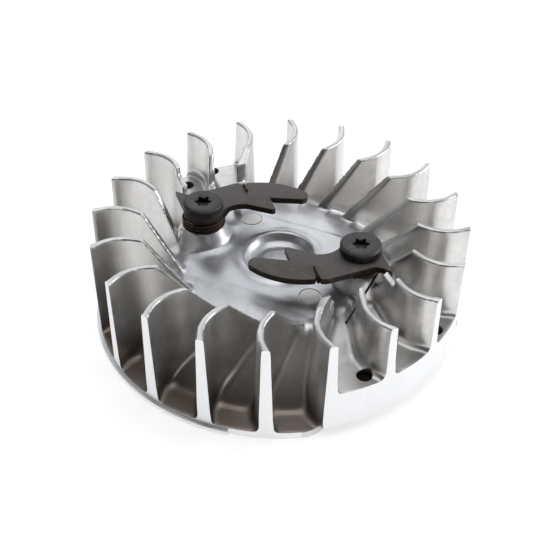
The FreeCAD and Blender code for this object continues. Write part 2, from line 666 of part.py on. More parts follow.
def pawl_spring(leg_length):
    """Torsion spring about the pivot: an open coil, a straight lower leg and a hooked upper leg."""
    low = BOSS_HEIGHT + COIL_GAP + WIRE_RADIUS
    notch_half = math.atan2(NOTCH_VERTEX[0] - NOTCH_LEFT[0], NOTCH_VERTEX[1] - NOTCH_LEFT[1])
    setback = (WIRE_RADIUS + HOOK_FIT) / math.sin(notch_half)
    hook = Vector(NOTCH_VERTEX[0], NOTCH_VERTEX[1] - setback, 0)
    hook_azimuth = math.degrees(math.atan2(hook.y, hook.x))
    leave = hook_azimuth - math.degrees(math.acos(COIL_RADIUS / hook.Length))
    start = LEG_AZIMUTH + 90
    sweep = (leave - start) % 360 + 360 * COIL_TURNS
    high = low + COIL_PITCH * sweep / 360
    coil_start = heading(start) * COIL_RADIUS + Vector(0, 0, low)
    coil_end = heading(leave) * COIL_RADIUS + Vector(0, 0, high)
    way = heading(leave + 90)
    reach = math.sqrt(hook.Length ** 2 - COIL_RADIUS ** 2) - HOOK_BEND
    first_bend, upright = bend(coil_end + way * reach, way, AXIS_Z)
    rise = PAWL_TOP + HOOK_FIT + WIRE_RADIUS - HOOK_BEND - upright.z
    second_bend, hook_start = bend(upright + Vector(0, 0, rise), AXIS_Z, heading(HOOK_AZIMUTH))
    pieces = [
        coil(start, sweep, low),
        rod(coil_start, heading(LEG_AZIMUTH), leg_length),
        rod(coil_end, way, reach),
        first_bend,
        rod(upright, AXIS_Z, rise),
        second_bend,
        rod(hook_start, heading(HOOK_AZIMUTH), HOOK_LENGTH),
    ]
    return single(pieces[0].fuse(pieces[1:]), "pawl_spring")


def save(shape, name):
    """Write one node."""
    os.makedirs("parts", exist_ok=True)
    shape.exportStep("parts/%s.step" % name)
    box = shape.BoundBox
    facts = (name, len(shape.Solids), shape.Volume, box.ZMin, box.ZMax)
    print("%-22s solids %d volume %9.1f  z %.2f..%.2f" % facts)


def at_pivot(shape, side):
    """A copy of a piece modelled about its pivot, put on the right or the left one."""
    copy = shape.copy()
    copy.rotate(Vector(), AXIS_Z, REST_SWING[side])
    copy.translate(polar(PIVOT_RADIUS, PIVOT_AZIMUTH))
    return copy if side == "right" else turn(copy, 180)


def main():
    """Build and save every node."""
    shoes = pole_shoes()
    magnet = ignition_magnet(shoes)
    save(casting(shoes, magnet), "flywheel_casting")
    save(magnet, "ignition_magnet")
    save(shoes[0], "pole_shoe_leading")
    save(shoes[1], "pole_shoe_trailing")
    for side in ("right", "left"):
        save(at_pivot(pawl(), side), "pawl_" + side)
        save(at_pivot(pivot_screw(), side), "pivot_screw_" + side)
        save(at_pivot(pawl_spring(LEG_LENGTHS[side]), side), "pawl_spring_" + side)


main()
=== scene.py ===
"""Looks of the blower flywheel: the die-cast wheel, its starter pawls, their screws and springs.

Metres throughout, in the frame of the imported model: the wheel axis is Z, the flange stands on
z = 0 and the fins point up.  Azimuth 0 is +X, and azimuths grow towards +Y.
"""
import logging
import math
from collections.abc import Callable, Iterator
from contextlib import contextmanager
from dataclasses import dataclass
from enum import Enum

import bpy
import numpy as np
from bpy.types import Material, Mesh, Node, NodeSocket, NodeTree, Object
from mathutils import Matrix, Vector
from mathutils.kdtree import KDTree


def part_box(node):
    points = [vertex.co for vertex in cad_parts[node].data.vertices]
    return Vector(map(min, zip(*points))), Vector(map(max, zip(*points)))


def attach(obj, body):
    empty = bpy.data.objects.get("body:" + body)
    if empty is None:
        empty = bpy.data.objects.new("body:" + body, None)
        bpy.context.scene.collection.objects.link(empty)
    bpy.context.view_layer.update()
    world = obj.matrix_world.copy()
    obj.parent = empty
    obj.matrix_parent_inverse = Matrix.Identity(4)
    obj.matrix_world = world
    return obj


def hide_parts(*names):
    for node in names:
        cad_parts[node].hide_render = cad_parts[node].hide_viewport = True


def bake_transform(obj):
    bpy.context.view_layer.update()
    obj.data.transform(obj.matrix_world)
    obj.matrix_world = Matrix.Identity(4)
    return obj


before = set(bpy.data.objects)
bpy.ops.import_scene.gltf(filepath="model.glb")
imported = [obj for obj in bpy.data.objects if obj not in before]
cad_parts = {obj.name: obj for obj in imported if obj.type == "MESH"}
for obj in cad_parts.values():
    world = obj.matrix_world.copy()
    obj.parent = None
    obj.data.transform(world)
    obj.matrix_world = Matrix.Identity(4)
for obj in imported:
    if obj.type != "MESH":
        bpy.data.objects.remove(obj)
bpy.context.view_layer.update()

MM = 0.001
WELD = 1e-6                   # vertices nearer than this are made one
PAST = 2 * MM                 # how far a cutter stands past the face that it opens
RIM_RADIUS = 55.0 * MM        # turned outer face of the fins and of the magnet band
PLATEAU = 19.0 * MM
PIVOT_RADIUS = 25.05 * MM
PIVOT_AZIMUTH = 337.2         # the right pawl's; the left one's is half a turn on
MARK_DISTANCE = 20.2 * MM     # from the axis to the middle of an ejector mark
MARK_AZIMUTH = 115.9
LEFT_REST_SWING = 3.4         # degrees
ON_AXIS = Vector((0, 0, 0))
COLOUR_A, COLOUR_B, COLOUR_RESULT = 6, 7, 2     # a Mix node's colour sockets
Colour = tuple[float, float, float]
Span = tuple[float, float]
TURNED_METAL: Colour = (0.86, 0.865, 0.875)
RIM_BLEND = 0.05              # mm over which the turned colour sets in
log = logging.getLogger("flywheel")


class Side(Enum):
    """Which of the two pawls a piece belongs to."""

    RIGHT = "right"
    LEFT = "left"

    @property
    def turn(self) -> float:
        """How far a piece modelled for the right pawl is turned about the wheel axis."""
        return 0.0 if self is Side.RIGHT else math.pi

    @property
    def rest_swing(self) -> float:
        """How far the pawl stands out at rest, in degrees."""
        return 0.0 if self is Side.RIGHT else LEFT_REST_SWING


class Slot(Enum):
    """The record's material slots."""

    CASTING = "cast_aluminium"
    LAMINATION = "lamination_steel"
    PAWL = "pawl_steel"
    SCREW = "screw_steel"
    SPRING = "spring_wire"


# ---- mesh helpers ----


def polar(radius: float, azimuth: float, height: float = 0.0) -> Vector:
    """A point at a radius and an azimuth in degrees about the wheel axis."""
    angle = math.radians(azimuth)
    return Vector((radius * math.cos(angle), radius * math.sin(angle), height))


def both(radius: float, azimuth: float) -> list[Vector]:
    """A place on the wheel and its twin half a turn on."""
    return [polar(radius, azimuth + half_turn) for half_turn in (0, 180)]


def pick(*pieces: Object) -> None:
    """Leave only these pieces selected, with the first one active."""
    if bpy.context.object and bpy.context.object.mode != "OBJECT":
        bpy.ops.object.mode_set(mode="OBJECT")
    bpy.ops.object.select_all(action="DESELECT")
    for piece in pieces:
        piece.select_set(True)
    bpy.context.view_layer.objects.active = pieces[0]


def settle(piece: Object) -> None:
    """Put a piece's place, turn and scale into its mesh."""
    piece.data.transform(piece.matrix_basis)
    piece.matrix_basis = Matrix.Identity(4)


@contextmanager
def editing(piece: Object) -> Iterator[None]:
    """Edit a piece's mesh, with all of it selected at the start."""
    pick(piece)
    bpy.ops.object.mode_set(mode="EDIT")
    bpy.ops.mesh.select_all(action="SELECT")
    yield
    bpy.ops.object.mode_set(mode="OBJECT")


def primitive(operator: Callable[..., object], name: str, **settings: object) -> Object:
    """Add a primitive with nothing else selected, and name it."""
    bpy.ops.object.select_all(action="DESELECT")
    operator(**settings)
    piece = bpy.context.object
    piece.name = name
    return piece


def copy_node(node: str, name: str) -> Object:
    """A new piece with a CAD node's shape, its loose triangles merged.

    Args:
        node: name of the CAD node.
        name: name of the new piece.

    Returns:
        The new object, linked to the scene and riding on nothing.
    """
    piece = bpy.data.objects.new(name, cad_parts[node].data.copy())
    piece.data.name = name
    piece.data.materials.clear()
    bpy.context.scene.collection.objects.link(piece)
    with editing(piece):
        bpy.ops.mesh.remove_doubles(threshold=WELD)
    return piece


def apply_modifier(piece: Object, kind: str, **settings: object) -> None:
    """Add a modifier of one kind to a piece with these settings and apply it."""
    pick(piece)
    modifier = piece.modifiers.new(kind.title(), kind)
    for key, value in settings.items():
        setattr(modifier, key, value)
    bpy.ops.object.modifier_apply(modifier=modifier.name)


def boolean(piece: Object, tool: Object, operation: str) -> None:
    """Combine a tool's shape with a piece and throw the tool away."""
    apply_modifier(piece, "BOOLEAN", operation=operation, object=tool, solver="MANIFOLD")
    bpy.data.objects.remove(tool)


def revolve(name: str, outline: list[Span], steps: int) -> Object:
    """A solid spun all the way round the Z axis.

    Args:
        name: name of the object.
        outline: corners as (radius, height); either none of them is on the axis, or the first and
            the last one are.
        steps: number of flats all the way round.

    Returns:
        The solid, with its normals outwards.
    """
    piece = primitive(bpy.ops.mesh.primitive_circle_add, name, vertices=len(outline), radius=MM,
                      fill_type="NOTHING")
    for vertex, (radius, height) in zip(piece.data.vertices, outline):
        vertex.co = (radius, 0.0, height)
    if outline[0][0] == outline[-1][0] == 0.0:
        select_edge(piece.data, {0, len(outline) - 1})
        bpy.ops.object.mode_set(mode="EDIT")
        bpy.ops.mesh.delete(type="EDGE")
    with editing(piece):
        bpy.ops.mesh.spin(steps=steps, angle=math.tau, center=(0, 0, 0), axis=(0, 0, 1),
                          use_auto_merge=True)
        bpy.ops.mesh.select_all(action="SELECT")
        bpy.ops.mesh.remove_doubles(threshold=WELD)
        bpy.ops.mesh.normals_make_consistent(inside=False)
    return piece


def select_edge(mesh: Mesh, ends: set[int]) -> None:
    """Select the one edge between two vertices and nothing else."""
    mesh.vertices.foreach_set("select", [False] * len(mesh.vertices))
    for edge in mesh.edges:
        edge.select = set(edge.vertices) == ends


def move(piece: Object, place: Vector) -> Object:
    """Carry a piece modelled about the Z axis to a place beside it."""
    piece.location = place
    settle(piece)
    return piece


def merge(piece: Object, *others: Object) -> None:
    """Join other pieces' shells to a piece, to be made one skin by a remesh."""
    pick(piece, *others)
    bpy.ops.object.join()


def drum(name: str, radius: float, low: float, high: float, place: Vector,
         sides: int = 64) -> Object:
    """A plain round tool standing at a place, from one height to another."""
    tool = primitive(bpy.ops.mesh.primitive_cylinder_add, name, vertices=sides, radius=radius,
                     depth=high - low, location=(place.x, place.y, (low + high) / 2))
    settle(tool)
    return tool


def vertex_places(mesh: Mesh) -> np.ndarray:
    """Every vertex of a mesh as rows of x, y, z."""
    flat = np.empty(len(mesh.vertices) * 3)
    mesh.vertices.foreach_get("co", flat)
    return flat.reshape(-1, 3)


def place_vertices(mesh: Mesh, places: np.ndarray) -> None:
    """Move a mesh's vertices to new places."""
    mesh.vertices.foreach_set("co", places.ravel())
    mesh.update()


def vertex_normals(mesh: Mesh) -> np.ndarray:
    """Every vertex normal of a mesh."""
    flat = np.empty(len(mesh.vertices) * 3, dtype=np.float32)
    mesh.vertex_normals.foreach_get("vector", flat)
    return flat.reshape(-1, 3).astype(float)


class Neighbours:
    """Averages over the vertices that share an edge."""

    def __init__(self, mesh: Mesh) -> None:
        """Read the edges of a mesh."""
        flat = np.empty(len(mesh.edges) * 2, dtype=np.int64)
        mesh.edges.foreach_get("vertices", flat)
        ends = flat.reshape(-1, 2)
        self.first = np.concatenate([ends[:, 0], ends[:, 1]])
        self.second = np.concatenate([ends[:, 1], ends[:, 0]])
        self.size = len(mesh.vertices)
        self.count = np.maximum(np.bincount(self.first, minlength=self.size), 1)

    def average(self, values: np.ndarray) -> np.ndarray:
        """The mean of each vertex's neighbours, for one value or three to a vertex."""
        if values.ndim == 1:
            return np.bincount(self.first, values[self.second], self.size) / self.count
        return np.stack([self.average(values[:, axis]) for axis in range(values.shape[1])], axis=1)

    def blur(self, values: np.ndarray, rounds: int) -> np.ndarray:
        """Values spread over their neighbours a number of times."""
        for _ in range(rounds):
            values = (values + self.average(values)) / 2
        return values


def hollowness(mesh: Mesh, rounds: int) -> np.ndarray:
    """How hollow the surface is at each vertex, as a bend in radians; crests are negative."""
    neighbours = Neighbours(mesh)
    places = vertex_places(mesh)
    pull = neighbours.average(places) - places
    reach = np.linalg.norm(places[neighbours.first] - places[neighbours.second], axis=1)
    spacing = np.bincount(neighbours.first, reach, neighbours.size) / neighbours.count
    bend = np.einsum("ij,ij->i", pull, vertex_normals(mesh)) / np.maximum(spacing, 1e-6)
    return neighbours.blur(bend, rounds)


def smoothstep(low: float, high: float, values: np.ndarray) -> np.ndarray:
    """0 below low, 1 above high, and a smooth rise between."""
    share = np.clip((values - low) / (high - low), 0.0, 1.0)
    return share * share * (3 - 2 * share)


def fall(low: float, high: float, values: np.ndarray) -> np.ndarray:
    """1 below low, 0 above high, and a smooth fall between."""
    return 1 - smoothstep(low, high, values)


def set_attribute(mesh: Mesh, name: str, values: np.ndarray) -> None:
    """Store one value for each vertex under a name that materials can read."""
    attribute = mesh.attributes.new(name, "FLOAT", "POINT")
    attribute.data.foreach_set("value", values.astype(np.float32))


def carry_attribute(source: Mesh, values: np.ndarray, target: Mesh) -> np.ndarray:
    """Values at a mesh's vertices, read from the nearest vertices of another mesh.

    Args:
        source: the mesh that the values belong to.
        values: one value for each vertex of the source.
        target: the mesh that needs them.

    Returns:
        One value for each vertex of the target.
    """
    tree = KDTree(len(source.vertices))
    for index, place in enumerate(vertex_places(source).tolist()):
        tree.insert(place, index)
    tree.balance()
    nearest = [tree.find(place)[1] for place in vertex_places(target).tolist()]
    return values[nearest]


def smooth_shading(piece: Object, crease: float) -> None:
    """Shade a piece smooth, with sharp edges where the faces turn by more than crease degrees."""
    pick(piece)
    if piece.data.has_custom_normals:
        bpy.ops.mesh.customdata_custom_splitnormals_clear()
    bpy.ops.object.shade_smooth_by_angle(angle=math.radians(crease))


# ---- shader helpers ----


class Graph:
    """A node tree with short ways to add and link nodes."""

    def __init__(self, tree: NodeTree) -> None:
        """Start on an empty or existing node tree."""
        self.tree = tree

    def add(self, kind: str, feeds: dict[str | int, object] | None = None,
            **settings: object) -> Node:
        """A new node.

        Args:
            kind: its type.
            feeds: what its sockets get, by name or number.
            settings: its properties.

        Returns:
            The node.
        """
        node = self.tree.nodes.new(kind)
        for key, value in settings.items():
            setattr(node, key, value)
        return self.fill(node, feeds or {})

    def fill(self, node: Node, feeds: dict[str | int, object]) -> Node:
        """Feed several sockets of a node, by name or number."""
        for key, value in feeds.items():
            self.feed(node.inputs[key], value)
        return node

    def feed(self, socket: NodeSocket, value: object) -> None:
        """Link a socket to another one, or give it a constant."""
        if isinstance(value, NodeSocket):
            self.tree.links.new(value, socket)
        elif isinstance(value, tuple) and len(value) == 3 and socket.type == "RGBA":
            socket.default_value = (*value, 1.0)
        else:
            socket.default_value = value

    def math(self, operation: str, first: object, second: object = 0.0,
             third: object = 0.0, clamp: bool = False) -> NodeSocket:
        """The result of a Math node."""
        node = self.add("ShaderNodeMath", operation=operation, use_clamp=clamp)
        for socket, value in zip(node.inputs, (first, second, third)):
            self.feed(socket, value)
        return node.outputs[0]

    def ramp(self, value: object, low: float, high: float, start: object = 0.0,
             end: object = 1.0) -> NodeSocket:
        """A value carried smoothly from one range to another."""
        node = self.add("ShaderNodeMapRange", interpolation_type="SMOOTHSTEP")
        for socket, given in zip(node.inputs, (value, low, high, start, end)):
            self.feed(socket, given)
        return node.outputs[0]

    def mix(self, factor: object, first: object, second: object, blend: str = "MIX") -> NodeSocket:
        """Two colours mixed."""
        node = self.add("ShaderNodeMix", data_type="RGBA", blend_type=blend, clamp_factor=True)
        self.fill(node, {"Factor": factor, COLOUR_A: first, COLOUR_B: second})
        return node.outputs[COLOUR_RESULT]

    def tint(self, base: object, mask: object, share: float, colour: object) -> NodeSocket:
        """A colour drawn towards another one by a share of a mask."""
        return self.mix(self.math("MULTIPLY", mask, share), base, colour)

    def toned(self, base: object, mask: object, dark: float, light: float) -> NodeSocket:
        """A colour multiplied by one level where a mask is 0 and by another where it is 1."""
        return self.mix(1.0, base, self.mix(mask, (dark,) * 3, (light,) * 3), "MULTIPLY")

    def scaled(self, vector: object, scale: Colour) -> NodeSocket:
        """Coordinates stretched by a different amount along each axis."""
        feeds = {0: vector, 1: scale}
        return self.add("ShaderNodeVectorMath", feeds, operation="MULTIPLY").outputs[0]

    def noise(self, vector: object, scale: object, detail: float = 3.0, rough: float = 0.5,
              warp: float = 0.0) -> NodeSocket:
        """The value of a noise texture."""
        feeds = {"Vector": vector, "Scale": scale, "Detail": detail, "Roughness": rough,
                 "Distortion": warp}
        return self.add("ShaderNodeTexNoise", feeds).outputs[0]

    def bump(self, height: object, strength: float, distance: float,
             normal: object = None) -> NodeSocket:
        """A normal tilted by a height."""
        feeds = {"Strength": strength, "Distance": distance, "Height": height}
        if normal is not None:
            feeds["Normal"] = normal
        return self.add("ShaderNodeBump", feeds).outputs[0]

    def attribute(self, name: str) -> NodeSocket:
        """A vertex attribute's value."""
        return self.add("ShaderNodeAttribute", attribute_name=name).outputs["Fac"]

    def group(self, tree: NodeTree, **inputs: object) -> dict[str, NodeSocket]:
        """The outputs, by name, of a node group placed in this tree with these inputs."""
        node = self.add("ShaderNodeGroup", inputs, node_tree=tree)
        return {socket.name: socket for socket in node.outputs}


class Effects:
    """The effects that several materials share, each one a node group."""

    def __init__(self) -> None:
        """Build every group once."""
        self.place = self.place_group()
        self.blotches = self.blotch_group()
        self.streaks = self.streak_group()
        self.grain = self.grain_group()

    @staticmethod
    def new_group(name: str, settings: dict[str, float],
                  results: tuple[str, ...]) -> tuple[Graph, Node, Node]:
        """An empty group that takes a position and some numbers.

        Args:
            name: name of the group.
            settings: starting value of each number, by name.
            results: names of the values that the group gives.

        Returns:
            The group's graph and its input and output nodes.
        """
        tree = bpy.data.node_groups.new(name, "ShaderNodeTree")
        add_socket = tree.interface.new_socket
        add_socket(name="Position", in_out="INPUT", socket_type="NodeSocketVector")
        for key, value in settings.items():
            socket = add_socket(name=key, in_out="INPUT", socket_type="NodeSocketFloat")
            socket.default_value = value
        for key in results:
            add_socket(name=key, in_out="OUTPUT", socket_type="NodeSocketFloat")
        graph = Graph(tree)
        return graph, graph.add("NodeGroupInput"), graph.add("NodeGroupOutput")

    def place_group(self) -> NodeTree:
        """Radius and height on the wheel, in millimetres."""
        graph, given, made = self.new_group("PlaceOnWheel", {}, ("Radius", "Height"))
        per_mm = 1000.0
        flat = graph.scaled(given.outputs["Position"], (per_mm, per_mm, 0.0))
        length = graph.add("ShaderNodeVectorMath", {0: flat}, operation="LENGTH")
        parts = graph.add("ShaderNodeSeparateXYZ", {0: given.outputs["Position"]})
        graph.fill(made, {"Radius": length.outputs["Value"],
                          "Height": graph.math("MULTIPLY", parts.outputs["Z"], per_mm)})
        return graph.tree

    def blotch_group(self) -> NodeTree:
        """Soft patches and finer mottling, as a value round 0.5."""
        finer_by = 7.0
        graph, given, made = self.new_group("Blotches", {"Scale": 80.0, "Fine": 0.35}, ("Value",))
        position, scale = given.outputs["Position"], given.outputs["Scale"]
        broad = graph.noise(position, scale, detail=2.0, warp=0.6)
        finer = graph.noise(position, graph.math("MULTIPLY", scale, finer_by), detail=4.0)
        share = graph.math("MULTIPLY", graph.math("SUBTRACT", finer, 0.5), given.outputs["Fine"])
        graph.feed(made.inputs["Value"], graph.math("ADD", broad, share, clamp=True))
        return graph.tree

    def streak_group(self) -> NodeTree:
        """Marks drawn out along the wheel axis, as left on a die-cast wall by the die."""
        stretch = 0.07
        graph, given, made = self.new_group("DieStreaks", {"Scale": 900.0}, ("Value",))
        drawn = graph.scaled(given.outputs["Position"], (1.0, 1.0, stretch))
        marks = graph.noise(drawn, given.outputs["Scale"], detail=3.0, rough=0.6)
        graph.feed(made.inputs["Value"], marks)
        return graph.tree

    def grain_group(self) -> NodeTree:
        """A fine pitted skin, as a height."""
        coarser_by, pit_share = 0.3, 0.8
        graph, given, made = self.new_group("SkinGrain", {"Scale": 2500.0}, ("Height",))
        position, scale = given.outputs["Position"], given.outputs["Scale"]
        fine = graph.noise(position, scale, detail=2.0)
        pits = graph.noise(position, graph.math("MULTIPLY", scale, coarser_by), detail=3.0)
        graph.feed(made.inputs["Height"], graph.math("MULTIPLY_ADD", pits, pit_share, fine))
        return graph.tree


def new_material(name: str) -> tuple[Material, Graph, Node, NodeSocket]:
    """An empty material.

    Args:
        name: name of the material.

    Returns:
        The material, its graph, its Principled shader and the object coordinates.
    """
    material = bpy.data.materials.new(name)
    material.use_nodes = True
    graph = Graph(material.node_tree)
    shader = material.node_tree.nodes["Principled BSDF"]
    position = graph.add("ShaderNodeTexCoord").outputs["Object"]
    return material, graph, shader, position


@dataclass(frozen=True)
class CastFinish:
    """Bare die-cast aluminium: satin skin, turned rim, browner where the gaps are deep and in the hollows by painted
    shade with some grime, and a painted highlight on the crests.
    """

    cool: Colour = (0.66, 0.67, 0.69)
    warm: Colour = (0.71, 0.70, 0.685)
    # deep is a brown painted shade, with some grime, for the low parts of the gaps and the hollows
    deep: Colour = (0.155, 0.115, 0.09)
    turned: Colour = TURNED_METAL
    # bore is a near-black painted shade for the walls and bottoms of the drilled holes
    bore: Colour = (0.030, 0.016, 0.012)
    mark: Colour = (0.86, 0.85, 0.81)
    roughness: float = 0.34
    roughness_range: float = 0.14
    mark_roughness: float = 0.15       # added on the ejector marks
    turned_roughness: float = 0.45
    metallic: float = 0.93
    rim_radius: float = 54.93          # this and the spans below are in mm
    fin_start: Span = (27.0, 34.0)
    gap_start: Span = (33.0, 42.0)
    gap_depth: Span = (15.0, 1.0)      # heights over which a gap grows browner with painted shade and grime
    flange_top: Span = (2.0, 2.4)      # the flange below it stays bright
    mark_top: Span = (18.5, 18.7)
    mark_edge: Span = (3.05, 2.95)
    # shares of the brown painted shade with grime in the deep gaps and in the hollows
    gap_shade_and_grime_share: float = 0.85
    hollow_shade_and_grime_share: float = 0.25
    # share of the painted highlight on the crests
    crest_highlight_share: float = 0.25

    def build(self, effects: Effects) -> Material:
        """The node material of the casting."""
        material, graph, shader, position = new_material("CastAluminium")
        place = graph.group(effects.place, Position=position)
        radius, height = place["Radius"], place["Height"]
        blotch = graph.group(effects.blotches, Position=position, Scale=70.0, Fine=0.4)["Value"]
        streak = graph.group(effects.streaks, Position=position, Scale=1100.0)["Value"]
        fins = graph.ramp(radius, *self.fin_start)
        base = graph.mix(fins, self.cool, self.warm)
        base = graph.toned(base, graph.ramp(blotch, 0.35, 0.68), 0.90, 1.08)
        base = graph.mix(fins, base, graph.toned(base, graph.ramp(streak, 0.3, 0.7), 0.97, 1.02))
        # Painted shade with some grime: the low parts of the gaps between the fins are drawn towards the deep colour
        low = graph.math("MULTIPLY", graph.ramp(height, *self.gap_depth),
                         graph.ramp(radius, *self.gap_start))
        low = graph.math("MULTIPLY", low, graph.ramp(height, *self.flange_top))
        base = graph.tint(base, low, self.gap_shade_and_grime_share, self.deep)
        # Painted shade with some grime in the hollows
        base = graph.tint(base, graph.attribute("hollow"), self.hollow_shade_and_grime_share, self.deep)
        # Painted highlight: the crests are drawn towards the turned colour
        base = graph.tint(base, graph.attribute("crest"), self.crest_highlight_share, self.turned)
        mark = self.on_mark(graph, position, height)
        base = graph.mix(mark, base, self.mark)
        lathe = graph.ramp(radius, self.rim_radius, self.rim_radius + RIM_BLEND)
        base = graph.mix(lathe, base, self.turned)
        # Painted shade: the drilled holes are drawn near-black
        base = graph.mix(graph.attribute("drilled"), base, self.bore)
        rough = graph.math("MULTIPLY_ADD", blotch, self.roughness_range,
                           self.roughness - self.roughness_range / 2)
        rough = graph.math("MULTIPLY_ADD", mark, self.mark_roughness, rough)
        on_rim = graph.ramp(lathe, 0.0, 1.0, 0.0, self.turned_roughness)
        grain = graph.group(effects.grain, Position=position, Scale=2200.0)["Height"]
        skin = graph.bump(grain, 0.14, 0.00006)
        graph.fill(shader, {"Base Color": base, "Roughness": graph.math("MAXIMUM", rough, on_rim),
                            "Metallic": self.metallic,
                            "Normal": graph.bump(streak, 0.05, 0.0001, skin)})
        return material

    def on_mark(self, graph: Graph, position: object, height: object) -> NodeSocket:
        """1 on the two ejector marks, 0 elsewhere."""
        masks = []
        for centre in both(MARK_DISTANCE, MARK_AZIMUTH):
            feeds = {0: graph.scaled(position, (1.0, 1.0, 0.0)), 1: tuple(centre)}
            apart = graph.add("ShaderNodeVectorMath", feeds, operation="DISTANCE")
            far = graph.math("MULTIPLY", apart.outputs["Value"], 1000.0)
            masks.append(graph.ramp(far, *self.mark_edge))
        either = graph.math("MAXIMUM", *masks)
        return graph.math("MULTIPLY", either, graph.ramp(height, *self.mark_top))


@dataclass(frozen=True)
class DarkSteelFinish:
    """Steel with a dark coat, with painted shade on its upright sides, and lighter where it is rubbed."""

    name: str
    coat: Colour
    rubbed: Colour
    # side is the painted shade on the upright sides
    side: Colour
    roughness: float
    metallic: float = 0.55
    roughness_range: float = 0.2

    def build(self, effects: Effects) -> Material:
        """The node material of a dark steel piece."""
        material, graph, shader, position = new_material(self.name)
        blotch = graph.group(effects.blotches, Position=position, Scale=160.0, Fine=0.8)["Value"]
        base = graph.toned(self.coat, graph.ramp(blotch, 0.3, 0.75), 0.84, 1.16)
        # Painted shade on the upright sides
        base = graph.mix(graph.attribute("side"), base, self.side)
        scuffed = graph.math("MULTIPLY", graph.attribute("crest"),
                             graph.ramp(blotch, 0.3, 0.7, 0.25, 1.0))
        rough = graph.math("MULTIPLY_ADD", blotch, self.roughness_range,
                           self.roughness - self.roughness_range / 2)
        grain = graph.group(effects.grain, Position=position, Scale=3200.0)["Height"]
        graph.fill(shader, {"Base Color": graph.mix(scuffed, base, self.rubbed),
                            "Roughness": rough, "Metallic": self.metallic,
                            "Normal": graph.bump(grain, 0.2, 0.00005)})
        return material


# The side colours of the pawl and the screw are painted shade on their upright sides
PAWL_FINISH = DarkSteelFinish("PawlSteel", coat=(0.122, 0.112, 0.106), rubbed=(0.20, 0.19, 0.18),
                              side=(0.018, 0.011, 0.009), roughness=0.55)
SCREW_FINISH = DarkSteelFinish("ScrewSteel", coat=(0.072, 0.066, 0.066),
                               rubbed=(0.24, 0.23, 0.225), side=(0.022, 0.018, 0.018),
                               roughness=0.46)
SPRING_FINISH = DarkSteelFinish("SpringWire", coat=(0.060, 0.034, 0.026),
                                rubbed=(0.30, 0.25, 0.22), side=(0.060, 0.034, 0.026),
                                roughness=0.34, metallic=0.8)
MAGNET_FINISH = DarkSteelFinish("MagnetSteel", coat=(0.09, 0.09, 0.10), rubbed=(0.2, 0.2, 0.2),
                                side=(0.09, 0.09, 0.10), roughness=0.6)


@dataclass(frozen=True)
class LaminationFinish:
    """Stacked sheet steel: bright where it is turned with the band, rusty brown elsewhere."""

    rusty: Colour = (0.045, 0.024, 0.016)
    rusty_high: Colour = (0.10, 0.058, 0.038)
    seam: Colour = (0.012, 0.008, 0.006)
    turned: Colour = TURNED_METAL
    roughness: Span = (0.7, 0.45)      # rusty, turned
    metallic: float = 0.93
    rim_radius: float = 54.9
    sheet: float = 0.5                 # thickness of one sheet, mm

    def build(self, effects: Effects) -> Material:
        """The node material of the pole shoes."""
        material, graph, shader, position = new_material("LaminationSteel")
        place = graph.group(effects.place, Position=position)
        outside = graph.ramp(place["Radius"], self.rim_radius, self.rim_radius + RIM_BLEND)
        phase = graph.math("FRACT", graph.math("DIVIDE", place["Height"], self.sheet))
        seam = graph.ramp(graph.math("ABSOLUTE", graph.math("SUBTRACT", phase, 0.5)), 0.40, 0.49)
        grain = graph.group(effects.grain, Position=position, Scale=2600.0)["Height"]
        rust = graph.mix(graph.ramp(grain, 0.6, 1.1), self.rusty, self.rusty_high)
        rust = graph.tint(rust, seam, 0.6, self.seam)
        bright = graph.tint(self.turned, seam, 0.05, self.rusty)
        graph.fill(shader, {"Base Color": graph.mix(outside, rust, bright),
                            "Roughness": graph.ramp(outside, 0.0, 1.0, *self.roughness),
                            "Metallic": self.metallic,
                            "Normal": graph.bump(grain, 0.10, 0.00004)})
        return material


# ---- the wheel ----


